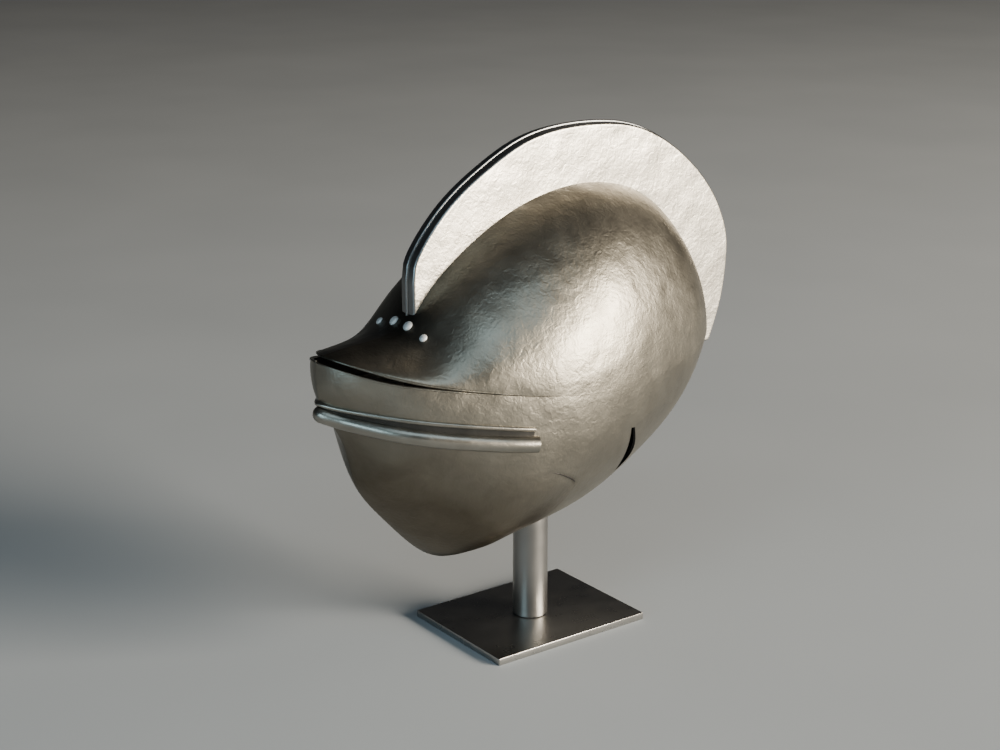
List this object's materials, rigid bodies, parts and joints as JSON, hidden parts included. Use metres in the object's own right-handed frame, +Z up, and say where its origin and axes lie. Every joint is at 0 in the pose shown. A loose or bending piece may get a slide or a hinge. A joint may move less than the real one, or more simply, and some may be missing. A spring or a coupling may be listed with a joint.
{
  "type": "closed morion helmet with display stand",
  "caption": "Steel closed helmet with a tall curved comb, upswept peak over a sight slot and a pointed face plate, held on a round post and flat base plate.",
  "frame": {"origin": "centre of the base plate's underside", "axes": "+Z up, -Y towards the front of the helmet, +X towards the wearer's left"},
  "size_m": [0.1844, 0.3679, 0.3741],
  "materials": {
    "plate_steel": "hammered, satin polished",
    "comb_steel": "hammered, satin polished",
    "moulding_steel": "satin polished",
    "rivet_steel": "bright polished",
    "post_steel": "polished",
    "base_metal": "dark satin"
  },
  "bodies": {
    "root": {"skull": "plate_steel", "face_plate": "plate_steel", "comb": "comb_steel", "moulding_upper": "moulding_steel", "moulding_lower": "moulding_steel", "rivet_inner_left": "rivet_steel", "rivet_inner_right": "rivet_steel", "rivet_outer_left": "rivet_steel", "rivet_outer_right": "rivet_steel", "post": "post_steel", "base_plate": "base_metal"}
  },
  "joints": []
}
